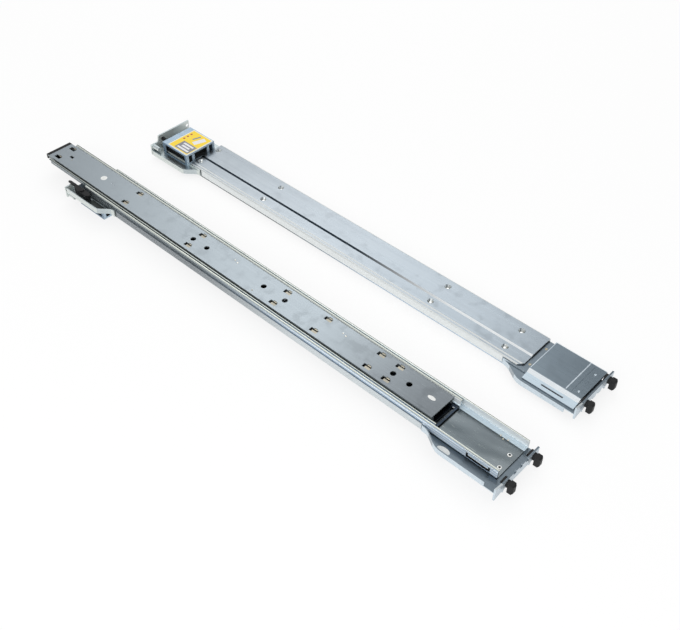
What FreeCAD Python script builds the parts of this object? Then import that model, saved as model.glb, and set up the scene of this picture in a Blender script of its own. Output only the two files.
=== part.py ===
import FreeCAD, Part
import math
import os

V = FreeCAD.Vector

# Sliding server rail pair, in millimetres. Each rail is modelled in its own axes first:
# x runs from the front post (0) to the rear post, y across the rail, and depth runs from
# the face that carries the server (0) to the cabinet side. The left rail lies with its
# server face up, the right rail, its mirror image, lies with its back up.

# ---- driving dimensions ------------------------------------------------------------

rail_pitch = 140.0            # y distance between the two rails' centre lines
rest_height = 29.0            # server face of the left rail above the surface
post_span = 684.0             # front post face to rear post face

# telescopic slide
member_start = 22.5           # front end of the outer member behind the front post face
middle_start = 21.5           # front end of the closed intermediate member
inner_start = 14.5            # front end of the closed inner member
outer_rear_gap = 9.5          # rear ends of the closed members to the rear post face
middle_rear_gap = 7.5
inner_rear_gap = 12.5
slide_half = 26.6             # half width over the outer member
outer_sheet = 1.4
middle_sheet = 1.3
inner_sheet = 1.4
side_window_length = 29.0     # opening in the outer member's near wall
side_window_setback = 9.0     # behind it, to the member's rear end
side_window_foot = 10.0       # depth that it reaches to
side_tab_edge = 6.6           # free edge of the tab left in that opening
side_slit = 2.4               # slits beside the tab
side_slit_top = 3.4
stop_slot_y = (-15.0, 13.5)   # slot across the intermediate web, near its rear end
stop_slot_setback = (5.4, 2.2)
outer_ball_d = 4.0
inner_ball_d = 3.3
ball_play = 0.1               # clearance on each side of a ball
web_play = 0.5                # clearance between stacked webs
inner_depth = 7.0             # depth of the inner member's legs
plate_rim = 2.0               # depth of the inner plate's turned edge
leg_root = 3.1                # depth at which its legs start
lip_depth = 0.4               # rims lie this far under the server face
lip_reach = 1.9               # width of a rim beyond its wall
edge_gap = 1.3                # inner plate edge to intermediate wall
bumper_sheet = 2.2
bumper_bevel = 0.8
cage_sheet = 0.4
cage_rim = 0.8                # cage beyond its balls
cage_band = (12.0, 5.0)       # web left at a cage's ends and along its edges
cage_length = 250.0
cage_start = 195.0            # front ends of the cages in the closed slide
balls_per_row = 4
ball_level = 5.6              # depth of the ball rows
pocket_play = 0.15            # ball to the edge of its pocket

left_middle_out = 82.0        # the left slide rests partly drawn out
left_inner_out = 3.0

# openings in the inner plate, measured from its front window pair
window_setback = 15.0
window_y = 11.8
window_length = 10.4
window_width = 5.2
window_steps = (0.0, 142.4, 262.7, 408.2, 471.7, 549.4, 575.4)
plate_hole_r = 3.4
screw_hole_steps = (283.4, 597.6)
access_hole_steps = (259.0, 381.2, 415.4, 575.7)
notch_run = (-1.6, 3.6)       # notch beside each window, along the rail
notch_reach = 1.4
tab_slot_run = (11.1, 17.5)   # slot behind the front window pair
tab_slot_half = 1.8

# fixed sheet metal
channel_sheet = 1.4
channel_bend = 0.2
channel_side_play = 0.2       # outer member to the channel's flanges
channel_start = 67.0
channel_rear_gap = 78.0       # rear end of the channel to the rear post face
near_flange_start = 88.0
near_flange_setback = 24.0    # the near flange stops this short of the channel's rear end
far_flange_start = 76.5
flange_edge = 5.2             # depth of the channel flanges' free edges
ledge_y = -23.0
ledge_run = 1.6               # width of the slope beside the ledge
ledge_rise = 0.7              # rise from the near ledge to the middle of the back
step_y = -7.5
channel_step = 1.0            # the far part of the back stands this much prouder
step_run = 2.6                # width of the sloping step
bracket_sheet = 1.2
layer_play = 0.2              # clearance between the stacked sheets
dimple_rows = 16.0
front_dimples = (73.5, 195.0)
rear_dimples = (134.5, 30.0)  # measured back from the channel's rear end
dimple_r = 4.4
dimple_floor_r = 2.6
dimple_floor = 1.0
dimple_wall = 1.0             # extra radius under a dimple's floor
dimple_taper = 0.4
dimple_play = 0.4             # dimple to the slot or notch round it
corner_cut = (7.0, 6.0)       # bevelled corner at the channel's rear end, along and across

# wings and ears
wing_width = 12.8             # from the wing's root to its outer edge
wing_depth = 12.0             # outer face of the wing plate
lip_edge = 5.0                # depth of the wing lips' free edges
ear_sheet = 2.0
ear_far_inset = 3.2           # front ear's far edge inside the channel's side
rear_ear_overhang = 2.8       # rear ear's far edge beyond the channel's side
rear_ear_top = 8.0
rear_ear_foot = 19.4
adjust_travel = 90.0          # depth adjustment of the rear bracket
tongue_end = 4.0              # tongue beyond its slots
tongue_play = 0.4             # rear bracket tongue inside the channel flanges
front_base_end = 84.0
front_wing_end = 63.0         # where the front wing starts to narrow
front_wing_gap = 2.0          # front wing's root to the near flange
front_lip_gap = 2.0           # front lip's end behind the ear
front_ear_shelf = 20.0        # depth of the low part of the front ear
rear_wing_gap = 1.5
rear_wing_run = 31.0          # length of the rear wing's S along the rail
wing_straight = 1.0           # straight run of the wings before the S
rear_ear_shoulder = 0.4       # where the rear ear steps down, from the wing's root
rear_ear_low = 22.0           # depth of its low part
ear_notch_y = (-10.5, 0.0, 10.5)
ear_notch_half = 2.4
ear_notch_depth = 2.8
ear_tab_setback = 5.5         # pointed tabs under the rear ear, from the hooks
ear_tab_reach = 3.6
lip_setback = 13.7            # rear lip's end before the rear post face

# rear cover
cover_gap = 8.5               # channel's rear end to the cover
cover_rear_gap = 5.4          # cover's rear end to the rear post face
cover_far_inset = 1.8         # cover's edges inside the channel's sides
cover_near_inset = 2.8
cover_rise = 3.0              # rear cover above the channel's ledge
cover_bend = 0.4
shelf_width = 8.8             # shelf below the cover's near wall, from the wing's root
shelf_rise = 2.0              # slope of the shelf
shelf_window = (43.0, 16.0)   # window in the shelf, measured back from the cover's rear end
shelf_window_y = (5.0, 3.2)   # and from the wing's root
groove_setback = 12.0         # groove across the cover
groove_width = 1.4

# locking hooks
hook_pitch = 44.45            # one rack unit
hook_level = 13.6
hook_r = 4.2
hook_play = 0.06
post_sheet = 2.6              # gap behind a hook's leg for the rack post
hook_leg_depth = 6.4
hook_leg = 5.0                # leg beyond the shank
hook_heel = 5.0               # heel's corner radius behind the ear
heel_start = 2.6              # heel's front behind the ear
heel_gap = 0.3
heel_relief = 0.6             # bracket's clearance round the heels
hook_flat = 0.5               # flats on the shank
hook_bevel = 1.5

# front latch
box_front = 16.0
box_rear = 65.0
box_overhang = 3.4            # box beyond the wing's root
box_far_inset = 11.7          # box's far side inside the channel's side
box_sheet = 1.0
box_drop = 0.8                # the box stops this short of the ear's edge
slider_play = 0.3
slider_travel = 6.0
front_pin_r = 2.5
front_pin_play = 0.08
front_pin_level = 22.0
catch_pivot_x = 25.0
catch_pivot_setback = 3.8     # from the wing's root
catch_pin_r = 1.8
catch_play = 0.06
catch_head_lip = 1.2          # pin's head beyond its shank
catch_head_sheet = 0.9
catch_top = 2.2               # depth of the lever's server-side face
catch_foot = 8.6
catch_front = 11.0            # ends of the lever's thumb pad
catch_tail = 42.0
catch_taper = 4.0
catch_width = 7.2
catch_gap = 0.2               # thumb pad to the wing's root
catch_point = 3.4             # tips of the thumb pad, from the wing's root
catch_round = 1.5
nose_reach = 4.0              # lever's nose past the ear
nose_rise = 0.5               # nose short of the lip's free edge
leaf_gap = 0.6                # leaf behind the lever's tail
leaf_gap_far = 0.3            # leaf to the wing's root
leaf_width = 6.5
leaf_end = 76.0
leaf_taper = (6.0, 1.7)       # narrowed corner at the leaf's end, along and across
leaf_sheet = 0.8
roll_r = 2.8                  # rolled post at the near corner of the front ear
roll_level = 17.0
roll_gap = 1.6                # post to the wing's near edge
roll_setback = 2.0            # post's end before the box
rib_depths = (16.0, 19.5, 23.0)
rib_sheet = 1.2
rib_setback = 2.0
window_sill = 1.5             # band left under the box's windows
window_head = 2.5             # band left over them
rear_window_y = ((4.0, 10.0), (14.0, 36.0), (40.0, 46.0))     # from the box's near side
near_window_setback = (5.0, 4.0)
mouth_setback = 6.0


# ---- derived sizes -----------------------------------------------------------------

outer_wall = slide_half - outer_sheet
channel_half = slide_half + channel_side_play + channel_sheet
middle_half = outer_wall - outer_ball_d - 2 * ball_play
middle_wall = middle_half - middle_sheet
leg_half = middle_wall - inner_ball_d - 2 * ball_play
inner_half = middle_wall - edge_gap
outer_row = outer_wall - ball_play - outer_ball_d / 2
inner_row = middle_wall - ball_play - inner_ball_d / 2

inner_cage_web = inner_depth + web_play
middle_web = inner_cage_web + cage_sheet + web_play
outer_cage_web = middle_web + middle_sheet + web_play
outer_web = outer_cage_web + cage_sheet + web_play
slide_depth = outer_web + outer_sheet
base_depth = slide_depth + layer_play
base_top = base_depth + bracket_sheet
channel_depth = base_top + layer_play
back_depth = channel_depth + channel_sheet
cover_depth = back_depth + cover_rise
box_depth = rest_height - box_drop

member_end = post_span - outer_rear_gap
middle_end = post_span - middle_rear_gap
inner_end = post_span - inner_rear_gap
ear_inner = post_span - ear_sheet
channel_end = post_span - channel_rear_gap
near_flange_end = channel_end - near_flange_setback
cover_start = channel_end + cover_gap
cover_end = post_span - cover_rear_gap
dimple_stations = front_dimples + tuple(channel_end - back for back in rear_dimples)
slot_half = dimple_r + dimple_play
tongue_start = dimple_stations[-1] - adjust_travel - slot_half - tongue_end

tongue_half = channel_half - channel_sheet - tongue_play
wing_root_y = -channel_half - layer_play - bracket_sheet
step_inner_y = wing_root_y + bracket_sheet
wing_y = wing_root_y - wing_width
ear_far = channel_half - ear_far_inset
rear_ear_far = channel_half + rear_ear_overhang
cover_far = channel_half - cover_far_inset
cover_near = cover_near_inset - channel_half
box_near = wing_root_y - box_overhang
box_far = channel_half - box_far_inset
catch_pivot_y = wing_root_y - catch_pivot_setback
catch_far = wing_root_y - catch_gap
catch_near = catch_far - catch_width
catch_middle = wing_root_y - catch_point
leaf_far = wing_root_y - leaf_gap_far
leaf_near = leaf_far - leaf_width


# ---- shape helpers -----------------------------------------------------------------

def box(x0, x1, y0, y1, d0, d1):
    return Part.makeBox(x1 - x0, y1 - y0, d1 - d0, V(x0, y0, d0))


def rod(r, x, y, d0, d1):
    return Part.makeCylinder(r, d1 - d0, V(x, y, d0), V(0, 0, 1))


def shaft(r, x0, x1, y, d):
    return Part.makeCylinder(r, x1 - x0, V(x0, y, d), V(1, 0, 0))


def cornered_wire(points, radii):
    """Closed wire through the points, each corner's radius drawn as two flats."""
    ring = []
    for i, here in enumerate(points):
        r = radii[i]
        if r <= 0:
            ring.append(here)
            continue
        back = (points[i - 1] - here).normalize()
        ahead = (points[(i + 1) % len(points)] - here).normalize()
        half = back.getAngle(ahead) / 2
        reach = r / math.tan(half)
        middle = (back + ahead).normalize() * (r / math.sin(half) - r)
        ring += [here + back * reach, here + middle, here + ahead * reach]
    return Part.makePolygon(ring + ring[:1])


def plate(points, d0, d1, radius=0.0):
    """Flat plate from an outline in x and y."""
    outline = [V(x, y, d0) for x, y in points]
    wire = cornered_wire(outline, [radius] * len(outline))
    return Part.Face(wire).extrude(V(0, 0, d1 - d0))


def bent_sheet(path, sheet, x0, x1, bend=0.6):
    """Folded sheet with the given centre line in y and depth, extruded along the rail."""
    points = [V(x0, y, d) for y, d in path]
    steps = [(q - p).normalize() for p, q in zip(points, points[1:])]
    left, right = [], []
    for i, here in enumerate(points):
        first = steps[max(i - 1, 0)]
        second = steps[min(i, len(steps) - 1)]
        first_normal = V(0, -first.z, first.y)
        normal = (first_normal + V(0, -second.z, second.y)).normalize()
        offset = normal * (sheet / 2 / normal.dot(first_normal))
        turn = first.cross(second).x
        inner, outer = (bend, bend + sheet) if bend and abs(turn) > 1e-6 else (0.0, 0.0)
        left.append((here + offset, inner if turn > 0 else outer))
        right.append((here - offset, outer if turn > 0 else inner))
    ring = left + right[::-1]
    wire = cornered_wire([p for p, r in ring], [r for p, r in ring])
    return Part.Face(wire).extrude(V(x1 - x0, 0, 0))


def mirrored_path(half_path):
    """Whole section of a symmetric member from the half on its far side."""
    return [(-y, d) for y, d in half_path[::-1]] + list(half_path)


def disc_outline(r, x, y, sides=12):
    """Corners of a many-sided stand-in for a circle, with its flats at the radius."""
    corner_r = r / math.cos(math.pi / sides)
    turns = [2 * math.pi * (i + 0.5) / sides for i in range(sides)]
    return [(x + corner_r * math.cos(a), y + corner_r * math.sin(a)) for a in turns]


def flat_sided_shaft(r, x0, x1, y, d, sides=12):
    """Many-sided shaft, or the clearance hole for a round one, along x."""
    corners = [V(x0, py, pd) for py, pd in disc_outline(r, y, d, sides)]
    return Part.Face(Part.makePolygon(corners + corners[:1])).extrude(V(x1 - x0, 0, 0))


def dish(r_floor, r_rim, x, y, d_floor, d_rim):
    """Twelve-sided dish that widens from its floor to its rim."""
    rings = []
    for r, d in ((r_floor, d_floor), (r_rim, d_rim)):
        corners = [V(px, py, d) for px, py in disc_outline(r, x, y)]
        rings.append(Part.makePolygon(corners + corners[:1]))
    return Part.makeLoft(rings, True, True)


# ---- telescopic slide --------------------------------------------------------------

def apart(body, y0, y1):
    """What lies between two planes across the rail and what lies beyond, as touching solids."""
    room = body.BoundBox
    slab = box(room.XMin - 1, room.XMax + 1, y0, y1, room.ZMin - 1, room.ZMax + 1)
    return Part.makeCompound(body.common(slab).Solids + body.cut(slab).Solids)


def apart_at_web(body, half, depth, sheet):
    """The web and the two rolled edges as touching solids, which keeps each one open or flat."""
    low = body.BoundBox
    slab = box(low.XMin - 1, low.XMax + 1, -half, half, depth - 0.01, depth + sheet + 0.01)
    return Part.makeCompound(body.common(slab).Solids + body.cut(slab).Solids)


def outer_slide():
    wall = slide_half - outer_sheet / 2
    web = outer_web + outer_sheet / 2
    lip = lip_depth + outer_sheet / 2
    path = mirrored_path([(wall, web), (wall, lip), (outer_wall - lip_reach + outer_sheet / 2, lip)])
    body = bent_sheet(path, outer_sheet, member_start, member_end)
    end = member_end - side_window_setback
    start = end - side_window_length
    cutters = [box(x0, x1, -slide_half - 1, -outer_wall + 0.5, top, side_window_foot)
               for x0, x1, top in ((start, end, side_tab_edge),
                                   (start, start + side_slit, side_slit_top),
                                   (end - side_slit, end, side_slit_top))]
    body = body.cut(Part.makeCompound(cutters))
    return apart_at_web(body, outer_wall - lip_reach, outer_web, outer_sheet)


def intermediate_slide():
    wall = middle_half - middle_sheet / 2
    web = middle_web + middle_sheet / 2
    lip = lip_depth + middle_sheet / 2
    path = mirrored_path([(wall, web), (wall, lip), (middle_half + lip_reach, lip)])
    body = bent_sheet(path, middle_sheet, middle_start, middle_end)
    stop_slot = box(middle_end - stop_slot_setback[0], middle_end - stop_slot_setback[1],
                    *stop_slot_y, middle_web - 1, middle_web + 3)
    return apart_at_web(body.cut(stop_slot), middle_wall - lip_reach, middle_web, middle_sheet)


def inner_slide():
    top = inner_sheet / 2
    edge = inner_half - inner_sheet / 2
    leg = leg_half - inner_sheet / 2
    path = mirrored_path([(edge, top), (edge, plate_rim), (leg, leg_root), (leg, inner_depth)])
    body = bent_sheet(path, inner_sheet, inner_start, inner_end, 0)
    first = inner_start + window_setback
    half = window_length / 2
    cutters = []
    for step in window_steps:
        x = first + step
        for y in (-window_y, window_y):
            low = y - window_width / 2
            high = low + window_width
            cutters.append(box(x - half, x + half, low, high, -1, inner_sheet + 1))
            cutters.append(box(x + notch_run[0], x + notch_run[1], high - 1, high + notch_reach,
                               -1, inner_sheet + 1))
    for step in screw_hole_steps:
        cutters.append(rod(plate_hole_r, first + step, 0, -1, inner_sheet + 1))
    for step in access_hole_steps:
        cutters.append(plate(disc_outline(plate_hole_r, first + step, 0), -1, inner_sheet + 1))
    cutters.append(box(first + tab_slot_run[0], first + tab_slot_run[1], -tab_slot_half,
                       tab_slot_half, -1, inner_sheet + 1))
    return body.cut(Part.makeCompound(cutters))


def ball_stations():
    pitch = cage_length / balls_per_row
    return [cage_start + pitch * (i + 0.5) for i in range(balls_per_row)]


def ball(r):
    """Steel ball as a block with every edge bevelled."""
    block = Part.makeBox(2 * r, 2 * r, 2 * r, V(-r, -r, -r))
    return block.makeChamfer(r * (2 - math.sqrt(2)), block.Edges)


def ball_row_pair(y, ball_d):
    balls = []
    for x in ball_stations():
        for side in (-y, y):
            copy = ball(ball_d / 2)
            copy.translate(V(x, side, ball_level))
            balls.append(copy)
    return Part.makeCompound(balls)


def ball_cage(wall, ball_d, web_depth):
    """Thin channel that holds both ball rows of one member."""
    rim = ball_level - ball_d / 2 - cage_rim
    path = mirrored_path([(wall, web_depth + cage_sheet / 2), (wall, rim)])
    body = bent_sheet(path, cage_sheet, cage_start, cage_start + cage_length, 0.3)
    r = ball_d / 2 + pocket_play
    pockets = [box(x - r, x + r, side - 1, side + 1, ball_level - r, ball_level + r)
               for x in ball_stations() for side in (-wall, wall)]
    end_band, edge_band = cage_band
    relief = box(cage_start + end_band, cage_start + cage_length - end_band, -wall + edge_band,
                 wall - edge_band, web_depth - 1, web_depth + 1)
    return body.cut(Part.makeCompound(pockets + [relief]))


def inner_bumper():
    """Rubber cap over the front end of the inner member."""
    front = inner_start - bumper_sheet
    body = box(front, inner_start, -inner_half, inner_half, 0, inner_depth)
    return body.makeChamfer(bumper_bevel, [e for e in body.Edges if e.CenterOfMass.x < front + 0.01])


# ---- fixed channel -----------------------------------------------------------------

def back_channel():
    """Channel behind the slide, dimpled down to the outer member's web."""
    ledge = channel_depth + channel_sheet / 2
    near = ledge + ledge_rise
    far = near + channel_step
    wall = channel_half - channel_sheet / 2
    path = [(-wall, flange_edge), (-wall, ledge), (ledge_y - ledge_run, ledge), (ledge_y, near),
            (step_y - step_run / 2, near), (step_y + step_run / 2, far), (wall, far),
            (wall, flange_edge)]
    body = bent_sheet(path, channel_sheet, channel_start, channel_end, channel_bend)
    inside = channel_half - channel_sheet - 0.01
    cutters = [
        box(channel_start - 1, near_flange_start, -channel_half - 1, -inside, 0, channel_depth),
        box(near_flange_end, channel_end + 1, -channel_half - 1, -inside, 0, channel_depth),
        box(channel_start - 1, far_flange_start, inside, channel_half + 1, 0, channel_depth),
    ]
    dimples = []
    for x in dimple_stations:
        for y, rise in ((-dimple_rows, ledge_rise), (dimple_rows, ledge_rise + channel_step)):
            under = channel_depth + rise + 0.5
            dimples.append(dish(dimple_floor_r + dimple_wall, dimple_r, x, y, slide_depth, under))
            floor = slide_depth + dimple_floor
            rim = dimple_r - dimple_taper
            cutters.append(dish(dimple_floor_r, rim, x, y, floor, back_depth + rise))
    along, across = corner_cut
    corner = [(channel_end - along, -channel_half - 1), (channel_end + 1, -channel_half - 1),
              (channel_end + 1, across - channel_half), (channel_end, across - channel_half)]
    cutters.append(plate(corner, 0, back_depth + 1))
    body = body.fuse(dimples).cut(Part.makeCompound(cutters))
    web_half = channel_half - 2 * channel_sheet
    return apart(body, -web_half, web_half)


# ---- brackets ----------------------------------------------------------------------

def sweep_points(x0, y0, x1, y1):
    """Smooth S between two straight runs along the rail, as short flats."""
    count = 6
    points = []
    for i in range(count + 1):
        share = i / count
        eased = (1 - math.cos(math.pi * share)) / 2
        points.append(V(x0 + (x1 - x0) * share, y0 + (y1 - y0) * eased, 0))
    return points


def wing_face(root, s_start, s_end, tip, offset, inner_y):
    """Wing outline: the outer edge runs from the root along the channel out to the tip."""
    root_y = wing_root_y + offset
    tip_y = wing_y + offset
    outline = [V(root, root_y, 0)] + sweep_points(s_start, root_y, s_end, tip_y)
    outline += [V(tip, tip_y, 0), V(tip, inner_y, 0), V(root, inner_y, 0), V(root, root_y, 0)]
    return Part.Face(Part.makePolygon(outline))


def wing(root, s_start, s_end, tip, lip_tip):
    """Flat wing with a lip along its outer edge, and the step down to the base plate."""
    flat = wing_face(root, s_start, s_end, tip, 0, step_inner_y).extrude(V(0, 0, bracket_sheet))
    flat.translate(V(0, 0, wing_depth - bracket_sheet))
    beyond = step_inner_y + bracket_sheet
    whole = wing_face(root, s_start, s_end, lip_tip, 0, beyond)
    inside = wing_face(root, s_start, s_end, lip_tip, bracket_sheet, beyond)
    height = wing_depth - lip_edge
    lip = whole.extrude(V(0, 0, height)).cut(inside.extrude(V(0, 0, height)))
    lip.translate(V(0, 0, lip_edge))
    x0, x1 = sorted((root, tip))
    step = box(x0, x1, wing_root_y, step_inner_y, wing_depth - bracket_sheet, base_top)
    return flat.fuse([lip, step])


def ear_plate(x0, outline):
    points = [V(x0, y, d) for y, d in outline]
    return Part.Face(Part.makePolygon(points + points[:1])).extrude(V(ear_sheet, 0, 0))


def front_bracket():
    base = box(ear_sheet, front_base_end, -tongue_half, tongue_half, base_depth, base_top)
    root = near_flange_start - front_wing_gap
    apron = box(ear_sheet, root, step_inner_y - 0.5, -tongue_half + 0.5, base_depth, base_top)
    side = wing(root, root - wing_straight * 2, front_wing_end, ear_sheet, ear_sheet + front_lip_gap)
    ear = ear_plate(0.0, ((wing_y, lip_edge), (step_inner_y, lip_edge), (step_inner_y, base_depth),
                          (ear_far, base_depth), (ear_far, rest_height),
                          (step_inner_y, rest_height), (step_inner_y - ear_sheet, front_ear_shelf),
                          (wing_y, front_ear_shelf)))
    body = base.fuse([apron, side, ear])
    notch = front_dimples[0] - slot_half
    cutters = [box(notch, front_base_end + 1, y - slot_half, y + slot_half, base_depth - 1,
                   base_top + 1) for y in (-dimple_rows, dimple_rows)]
    hole_r = front_pin_r + front_pin_play
    cutters.append(flat_sided_shaft(hole_r, -1, ear_sheet + 1, -hook_pitch / 2, front_pin_level))
    cutters.append(shaft(hole_r, -1, ear_sheet + 1, hook_pitch / 2, front_pin_level))
    under = catch_top - 0.1
    pin = rod(catch_pin_r, catch_pivot_x, catch_pivot_y, under - catch_head_sheet / 2, wing_depth - 0.5)
    head = plate(disc_outline(catch_pin_r + catch_head_lip, catch_pivot_x, catch_pivot_y, 8),
                 under - catch_head_sheet, under)
    roll = flat_sided_shaft(roll_r, ear_sheet - 0.5, box_front - roll_setback,
                            wing_y + roll_r + roll_gap, roll_level, 8)
    body = body.cut(Part.makeCompound(cutters)).fuse([pin, head, roll]).removeSplitter()
    return apart(body, step_inner_y, ear_far + 1)


def catch_leaf():
    """Dark spring leaf along the wing, behind the lever."""
    start = catch_tail + leaf_gap
    along, across = leaf_taper
    outline = ((start, leaf_near), (leaf_end - along, leaf_near), (leaf_end, leaf_far - across),
               (leaf_end, leaf_far), (start, leaf_far))
    seat = wing_depth - bracket_sheet
    return plate(outline, seat - leaf_sheet, seat)


def rear_bracket(down):
    root = near_flange_end + rear_wing_gap
    tongue = box(tongue_start, ear_inner, -tongue_half, tongue_half, base_depth, base_top)
    apron = box(root, ear_inner, step_inner_y - 0.5, -tongue_half + 0.5, base_depth, base_top)
    bend = root + wing_straight
    side = wing(root, bend, bend + rear_wing_run, ear_inner, post_span - lip_setback)
    shoulder = wing_root_y - rear_ear_shoulder
    ear = ear_plate(ear_inner, ((wing_y, lip_edge), (shoulder, rear_ear_top),
                                (rear_ear_far, rear_ear_top), (rear_ear_far, rear_ear_foot),
                                (shoulder, rear_ear_foot), (wing_y, rear_ear_low)))
    foot = rear_ear_foot if down > 0 else rear_ear_top
    point = foot + down * ear_tab_reach
    tabs = []
    for y in (-hook_pitch / 2 - ear_tab_setback, hook_pitch / 2 - ear_tab_setback):
        tabs.append(ear_plate(ear_inner, ((y - 1.8, foot - down), (y + 1.8, foot - down),
                                          (y + 0.4, point), (y - 0.8, point))))
    body = tongue.fuse([apron, side, ear] + tabs)
    last = dimple_stations[-1]
    cutters = []
    for y in (-dimple_rows, dimple_rows):
        cutters.append(box(last - adjust_travel - slot_half, last + slot_half, y - slot_half,
                           y + slot_half, base_depth - 1, base_top + 1))
    relief = hook_heel + heel_relief
    for y in (-hook_pitch / 2, hook_pitch / 2):
        cutters.append(flat_sided_shaft(hook_r + hook_play, ear_inner - 1, post_span + 1, y,
                                        hook_level, 16))
        cutters.append(box(ear_inner - 2 * ear_sheet, ear_inner - 0.01, y - relief, y + relief,
                           base_depth - 1, base_top + 1))
    for y in ear_notch_y:
        cutters.append(box(ear_inner - 1, post_span + 1, y - ear_notch_half, y + ear_notch_half,
                           0, rear_ear_top + ear_notch_depth))
    body = body.cut(Part.makeCompound(cutters)).removeSplitter()
    return apart(body, step_inner_y, rear_ear_far + 1)


def rear_cover():
    top = cover_depth - bracket_sheet / 2
    shelf = wing_depth + bracket_sheet * 0.62
    path = [(wing_root_y - shelf_width, shelf), (wing_root_y, shelf + shelf_rise),
            (cover_near, top), (cover_far, top), (cover_far, base_top)]
    body = bent_sheet(path, bracket_sheet, cover_start, cover_end, cover_bend)
    groove_end = cover_end - groove_setback
    groove = box(groove_end - groove_width, groove_end, cover_near + 1.0, cover_far - 1.5,
                 cover_depth - 0.5, cover_depth + 1)
    window = box(cover_end - shelf_window[0], cover_end - shelf_window[1],
                 wing_root_y - shelf_window_y[0], wing_root_y - shelf_window_y[1],
                 wing_depth - 1, cover_depth)
    return body.cut(Part.makeCompound([groove, window]))


# ---- locking hooks -----------------------------------------------------------------

def rear_hook(y, down):
    """Swivelling hook: eight-sided heel behind the ear, a shank that turns in it and a leg."""
    face = post_span + post_sheet
    tip = face + hook_leg_depth
    heel = flat_sided_shaft(hook_heel, ear_inner - heel_start, ear_inner - heel_gap, y, hook_level, 8)
    flat = hook_r - hook_flat
    square = box(ear_inner - 1.0, face + 1.0, y - flat, y + flat, hook_level - flat, hook_level + flat)
    shank = square.common(shaft(hook_r, ear_inner - 1.0, face + 1.0, y, hook_level))
    low, high = sorted((hook_level - down * flat, hook_level + down * (flat + hook_leg)))
    leg = box(face, tip, y - flat, y + flat, low, high)
    leg = leg.makeChamfer(hook_bevel, [e for e in leg.Edges if e.CenterOfMass.x > tip - 0.1])
    return heel.fuse([shank, leg]).removeSplitter()


# ---- front latch -------------------------------------------------------------------

def latch_box():
    top = box_depth
    shell = box(box_front, box_rear, box_near, box_far, base_top, top)
    lower = box(box_front, box_rear, box_near, wing_root_y, wing_depth, top - 1)
    room = box(box_front + box_sheet, box_rear - box_sheet, box_near + box_sheet,
               box_far - box_sheet, 0, top - box_sheet)
    sill = channel_depth + window_sill
    head = top - window_head
    front_setback, rear_setback = near_window_setback
    openings = [room,
                box(box_front + front_setback, box_rear - rear_setback, box_near - 1, box_near + 2,
                    wing_depth + window_sill, head),
                box(box_front - 1, box_front + 2, box_near + mouth_setback, box_far - mouth_setback,
                    sill, head)]
    openings += [box(box_rear - 2, box_rear + 1, box_near + y0, box_near + y1, sill, head)
                 for y0, y1 in rear_window_y]
    return shell.fuse(lower).cut(Part.makeCompound(openings)).removeSplitter()


def latch_slider():
    """Spring-loaded block inside the box that carries the front locking pins."""
    front = box_front + box_sheet + slider_play
    rear = box_rear - box_sheet - slider_play - slider_travel
    body = box(front, rear, wing_root_y + 1.0, box_far - box_sheet - slider_play,
               base_top + slider_play, box_depth - box_sheet - slider_play)
    ribs = [box(front + rib_setback, rear - rib_setback, box_near + 3.0, wing_root_y + 1.5,
                d, d + rib_sheet) for d in rib_depths]
    pin = flat_sided_shaft(front_pin_r, -slider_travel + ear_sheet, front + 1, -hook_pitch / 2,
                           front_pin_level)
    return body.fuse(ribs + [pin]).removeSplitter()


def catch_lever():
    """Thumb lever that swings on its pin; its nose reaches past the ear."""
    start = catch_front + catch_taper
    end = catch_tail - catch_taper
    pad = plate(((catch_front, catch_middle), (start, catch_near), (end, catch_near),
                 (catch_tail, catch_middle), (end, catch_far), (start, catch_far)),
                catch_top, catch_foot, catch_round)
    root = start - 1.0
    nose = plate(((-nose_reach, catch_middle), (root, catch_middle - 0.5), (root, catch_far),
                  (-1.0, catch_far), (-nose_reach, catch_middle + 2.0)),
                 catch_top, lip_edge - nose_rise)
    bore = plate(disc_outline(catch_pin_r + catch_play, catch_pivot_x, catch_pivot_y), 0, wing_depth)
    return pad.fuse(nose).cut(bore).removeSplitter()


# ---- the two rails -----------------------------------------------------------------

def rail_parts(down, middle_out, inner_out):
    """All pieces of one rail in its own axes, with how far each is drawn to the front."""
    inner_cage_out = middle_out + inner_out / 2
    both = middle_out + inner_out
    return {
        "back_channel": (back_channel(), 0),
        "outer_slide": (outer_slide(), 0),
        "outer_ball_cage": (ball_cage(outer_row, outer_ball_d, outer_cage_web), middle_out / 2),
        "outer_balls": (ball_row_pair(outer_row, outer_ball_d), middle_out / 2),
        "intermediate_slide": (intermediate_slide(), middle_out),
        "inner_ball_cage": (ball_cage(inner_row, inner_ball_d, inner_cage_web), inner_cage_out),
        "inner_balls": (ball_row_pair(inner_row, inner_ball_d), inner_cage_out),
        "inner_slide": (inner_slide(), both),
        "inner_bumper": (inner_bumper(), both),
        "front_bracket": (front_bracket(), 0),
        "latch_box": (latch_box(), 0),
        "latch_slider": (latch_slider(), 0),
        "catch_lever": (catch_lever(), 0),
        "catch_leaf": (catch_leaf(), 0),
        "rear_bracket": (rear_bracket(down), 0),
        "rear_cover": (rear_cover(), 0),
        "rear_hook_near": (rear_hook(-hook_pitch / 2, down), 0),
        "rear_hook_far": (rear_hook(hook_pitch / 2, down), 0),
    }


def place_left(shape):
    turned = shape.mirror(V(0, 0, 0), V(0, 0, 1))
    turned.translate(V(0, 0, rest_height))
    return turned


def place_right(shape):
    moved = shape.copy()
    moved.translate(V(0, rail_pitch, 0))
    return moved


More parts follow.
